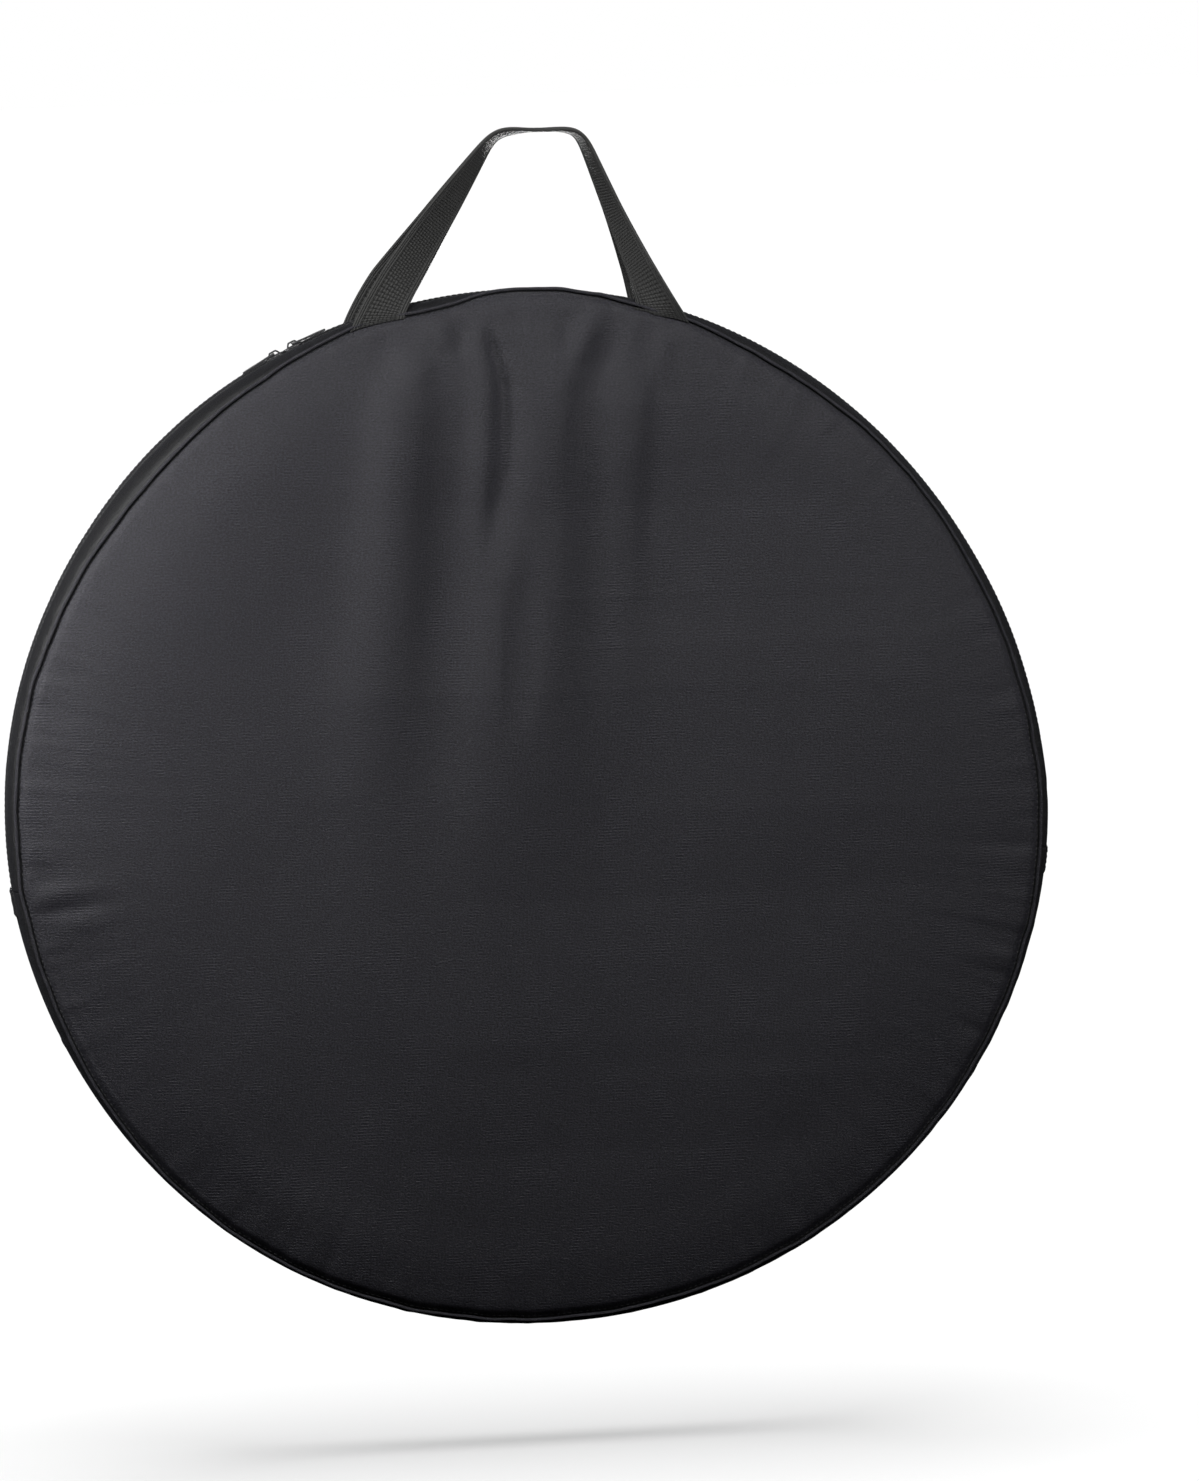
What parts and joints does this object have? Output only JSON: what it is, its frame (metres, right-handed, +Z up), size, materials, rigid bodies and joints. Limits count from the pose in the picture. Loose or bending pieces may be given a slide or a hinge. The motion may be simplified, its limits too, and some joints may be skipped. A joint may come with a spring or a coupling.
{
  "type": "bicycle wheel bag",
  "caption": "Round padded bag for one bicycle wheel, with a zipped gusset over the upper half and a webbing handle on each side.",
  "frame": {"origin": "on the bag's middle plane, under the two handle grips where a hand carries them", "axes": "+Z up along the hanging bag, +Y out of the rear side, +X to the right seen from the front side"},
  "size_m": [0.74, 0.0764, 0.8555],
  "materials": {
    "shell_fabric": "fine charcoal oxford weave, soft sheen",
    "gusset_fabric": "fine charcoal oxford weave",
    "grey_foam": "closed-cell foam sheet",
    "lining_fabric": "thin plain-woven lining",
    "welt_cord": "fabric-covered welt",
    "binding_tape": "ribbed binding tape",
    "hub_guard_plastic": "stiff sheet, matt",
    "zip_tape_fabric": "herringbone zip tape",
    "zip_coil_plastic": "nylon coil",
    "webbing": "dark warm-grey woven webbing",
    "slider_metal": "dark enamel, worn to metal at the edges"
  },
  "bodies": {
    "bag_body": {"front_panel_lower": "shell_fabric", "front_foam_lower": "grey_foam", "front_lining_lower": "lining_fabric", "front_piping_lower": "welt_cord", "front_binding_lower": "binding_tape", "rear_panel_lower": "shell_fabric", "rear_foam_lower": "grey_foam", "rear_lining_lower": "lining_fabric", "rear_piping_lower": "welt_cord", "rear_binding_lower": "binding_tape", "gusset_bottom": "gusset_fabric", "zip_end_tab_left": "gusset_fabric", "zip_end_tab_right": "gusset_fabric"},
    "front_flap": {"front_panel_upper": "shell_fabric", "front_foam_upper": "grey_foam", "front_lining_upper": "lining_fabric", "front_piping_upper": "welt_cord", "front_binding_upper": "binding_tape", "front_hub_guard": "hub_guard_plastic", "front_gusset_band": "gusset_fabric", "front_zip_tape": "zip_tape_fabric", "front_zip_coil": "zip_coil_plastic"},
    "rear_flap": {"rear_panel_upper": "shell_fabric", "rear_foam_upper": "grey_foam", "rear_lining_upper": "lining_fabric", "rear_piping_upper": "welt_cord", "rear_binding_upper": "binding_tape", "rear_hub_guard": "hub_guard_plastic", "rear_gusset_band": "gusset_fabric", "rear_zip_tape": "zip_tape_fabric", "rear_zip_coil": "zip_coil_plastic"},
    "handle_front": {"handle_front": "webbing"},
    "handle_rear": {"handle_rear": "webbing"},
    "slider_left": {"slider_left": "slider_metal"},
    "slider_right": {"slider_right": "slider_metal"},
    "pull_left": {"pull_left": "slider_metal"},
    "pull_right": {"pull_right": "slider_metal"}
  },
  "joints": [
    {"name": "front_flap_fold", "type": "hinge", "parent": "bag_body", "child": "front_flap", "pos_m": [0, -0.0382, -0.51968], "axis": [1, 0, 0], "range_deg": [0, 110]},
    {"name": "rear_flap_fold", "type": "hinge", "parent": "bag_body", "child": "rear_flap", "pos_m": [0, 0.0382, -0.51968], "axis": [-1, 0, 0], "range_deg": [0, 110]},
    {"name": "handle_front_swing", "type": "hinge", "parent": "front_flap", "child": "handle_front", "pos_m": [0, -0.0325, -0.13798], "axis": [1, 0, 0], "range_deg": [0, 150]},
    {"name": "handle_rear_swing", "type": "hinge", "parent": "rear_flap", "child": "handle_rear", "pos_m": [0, 0.0325, -0.13798], "axis": [-1, 0, 0], "range_deg": [0, 150]},
    {"name": "slider_left_run", "type": "hinge", "parent": "rear_flap", "child": "slider_left", "pos_m": [0, 0, -0.481], "axis": [0, -1, 0], "range_deg": [0, 62]},
    {"name": "slider_right_run", "type": "hinge", "parent": "rear_flap", "child": "slider_right", "pos_m": [0, 0, -0.481], "axis": [0, 1, 0], "range_deg": [0, 114]},
    {"name": "pull_left_flip", "type": "hinge", "parent": "slider_left", "child": "pull_left", "pos_m": [-0.17156, 0, -0.15004], "axis": [0, 1, 0], "range_deg": [0, 100]},
    {"name": "pull_right_flip", "type": "hinge", "parent": "slider_right", "child": "pull_right", "pos_m": [-0.15813, 0, -0.14342], "axis": [0, -1, 0], "range_deg": [0, 100]}
  ]
}
